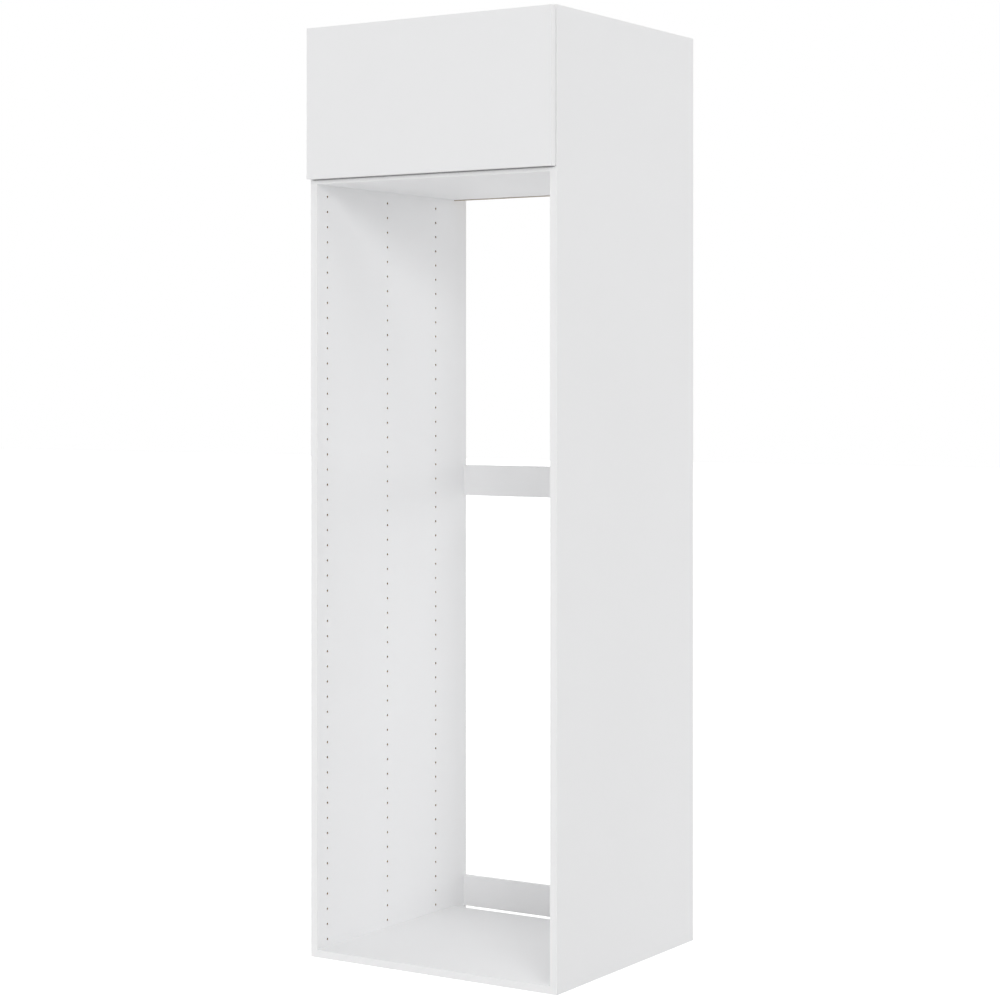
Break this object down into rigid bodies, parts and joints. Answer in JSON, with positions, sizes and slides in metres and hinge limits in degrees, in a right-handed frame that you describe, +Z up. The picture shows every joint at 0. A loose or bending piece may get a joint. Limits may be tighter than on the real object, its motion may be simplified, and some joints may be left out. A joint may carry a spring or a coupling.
{
  "type": "fridge housing unit",
  "caption": "Tall white kitchen cabinet that holds a built-in fridge: open niche with drilled sides and rear rails, and a closed compartment above with a slab door on concealed hinges.",
  "frame": {"origin": "centre of the footprint of the whole unit, door included, at the height of its underside", "axes": "+X to the right as seen from the front, +Y from the front to the rear, +Z up"},
  "size_m": [0.6, 0.598, 1.952],
  "materials": {
    "melamine": "white melamine facing on chipboard, matt",
    "edge_band": "white plastic edge band, satin",
    "white_steel": "white powder coat, satin",
    "hardboard": "white faced hardboard, matt",
    "nickel_steel": "nickel plated, satin",
    "zinc_steel": "zinc plated",
    "zinc_cast": "raw zinc die casting",
    "beech": "raw beech",
    "buffer": "clear soft pad"
  },
  "bodies": {
    "cabinet": {"left_side_panel": "melamine", "right_side_panel": "melamine", "bottom_panel": "melamine", "fixed_shelf": "melamine", "top_panel": "melamine", "left_side_band": "edge_band", "right_side_band": "edge_band", "bottom_band": "edge_band", "shelf_band": "edge_band", "top_band": "edge_band", "cam_locks": "zinc_cast", "cam_bolts": "zinc_steel", "dowels": "beech", "middle_rear_rail": "white_steel", "bottom_rear_rail": "white_steel", "rail_screws": "zinc_steel", "top_back_panel": "hardboard", "back_screws": "zinc_steel", "outer_arm_pins": "zinc_steel", "inner_arm_pins": "zinc_steel", "lower_hinge_plate": "nickel_steel", "lower_hinge_arm": "nickel_steel", "lower_plate_screws": "zinc_steel", "lower_arm_screws": "zinc_steel", "upper_hinge_plate": "nickel_steel", "upper_hinge_arm": "nickel_steel", "upper_plate_screws": "zinc_steel", "upper_arm_screws": "zinc_steel"},
    "outer_links": {"lower_outer_link": "nickel_steel", "upper_outer_link": "nickel_steel"},
    "inner_links": {"inner_cup_pins": "zinc_steel", "lower_inner_link": "nickel_steel", "upper_inner_link": "nickel_steel"},
    "door": {"door_panel": "melamine", "door_side_bands": "edge_band", "door_cross_bands": "edge_band", "door_buffers": "buffer", "outer_cup_pins": "zinc_steel", "lower_hinge_cup": "nickel_steel", "lower_cup_screws": "zinc_steel", "upper_hinge_cup": "nickel_steel", "upper_cup_screws": "zinc_steel"}
  },
  "joints": [
    {"name": "outer_link_swing", "type": "hinge", "parent": "cabinet", "child": "outer_links", "pos_m": [-0.2658, -0.2779, 1.68], "axis": [0, 0, 1], "range_deg": [0, 34]},
    {"name": "door_swing", "type": "hinge", "parent": "outer_links", "child": "door", "pos_m": [-0.288, -0.28435, 1.68], "axis": [0, 0, -1], "range_deg": [0, 133]},
    {"name": "inner_link_swing", "type": "hinge", "parent": "cabinet", "child": "inner_links", "pos_m": [-0.2646, -0.2885, 1.68], "axis": [0, 0, 1], "range_deg": [0, 40]}
  ],
  "couplings": [
    {"joint": "outer_link_swing", "follows": "door_swing", "ratio": 0.24812},
    {"joint": "inner_link_swing", "follows": "door_swing", "ratio": 0.29323}
  ]
}
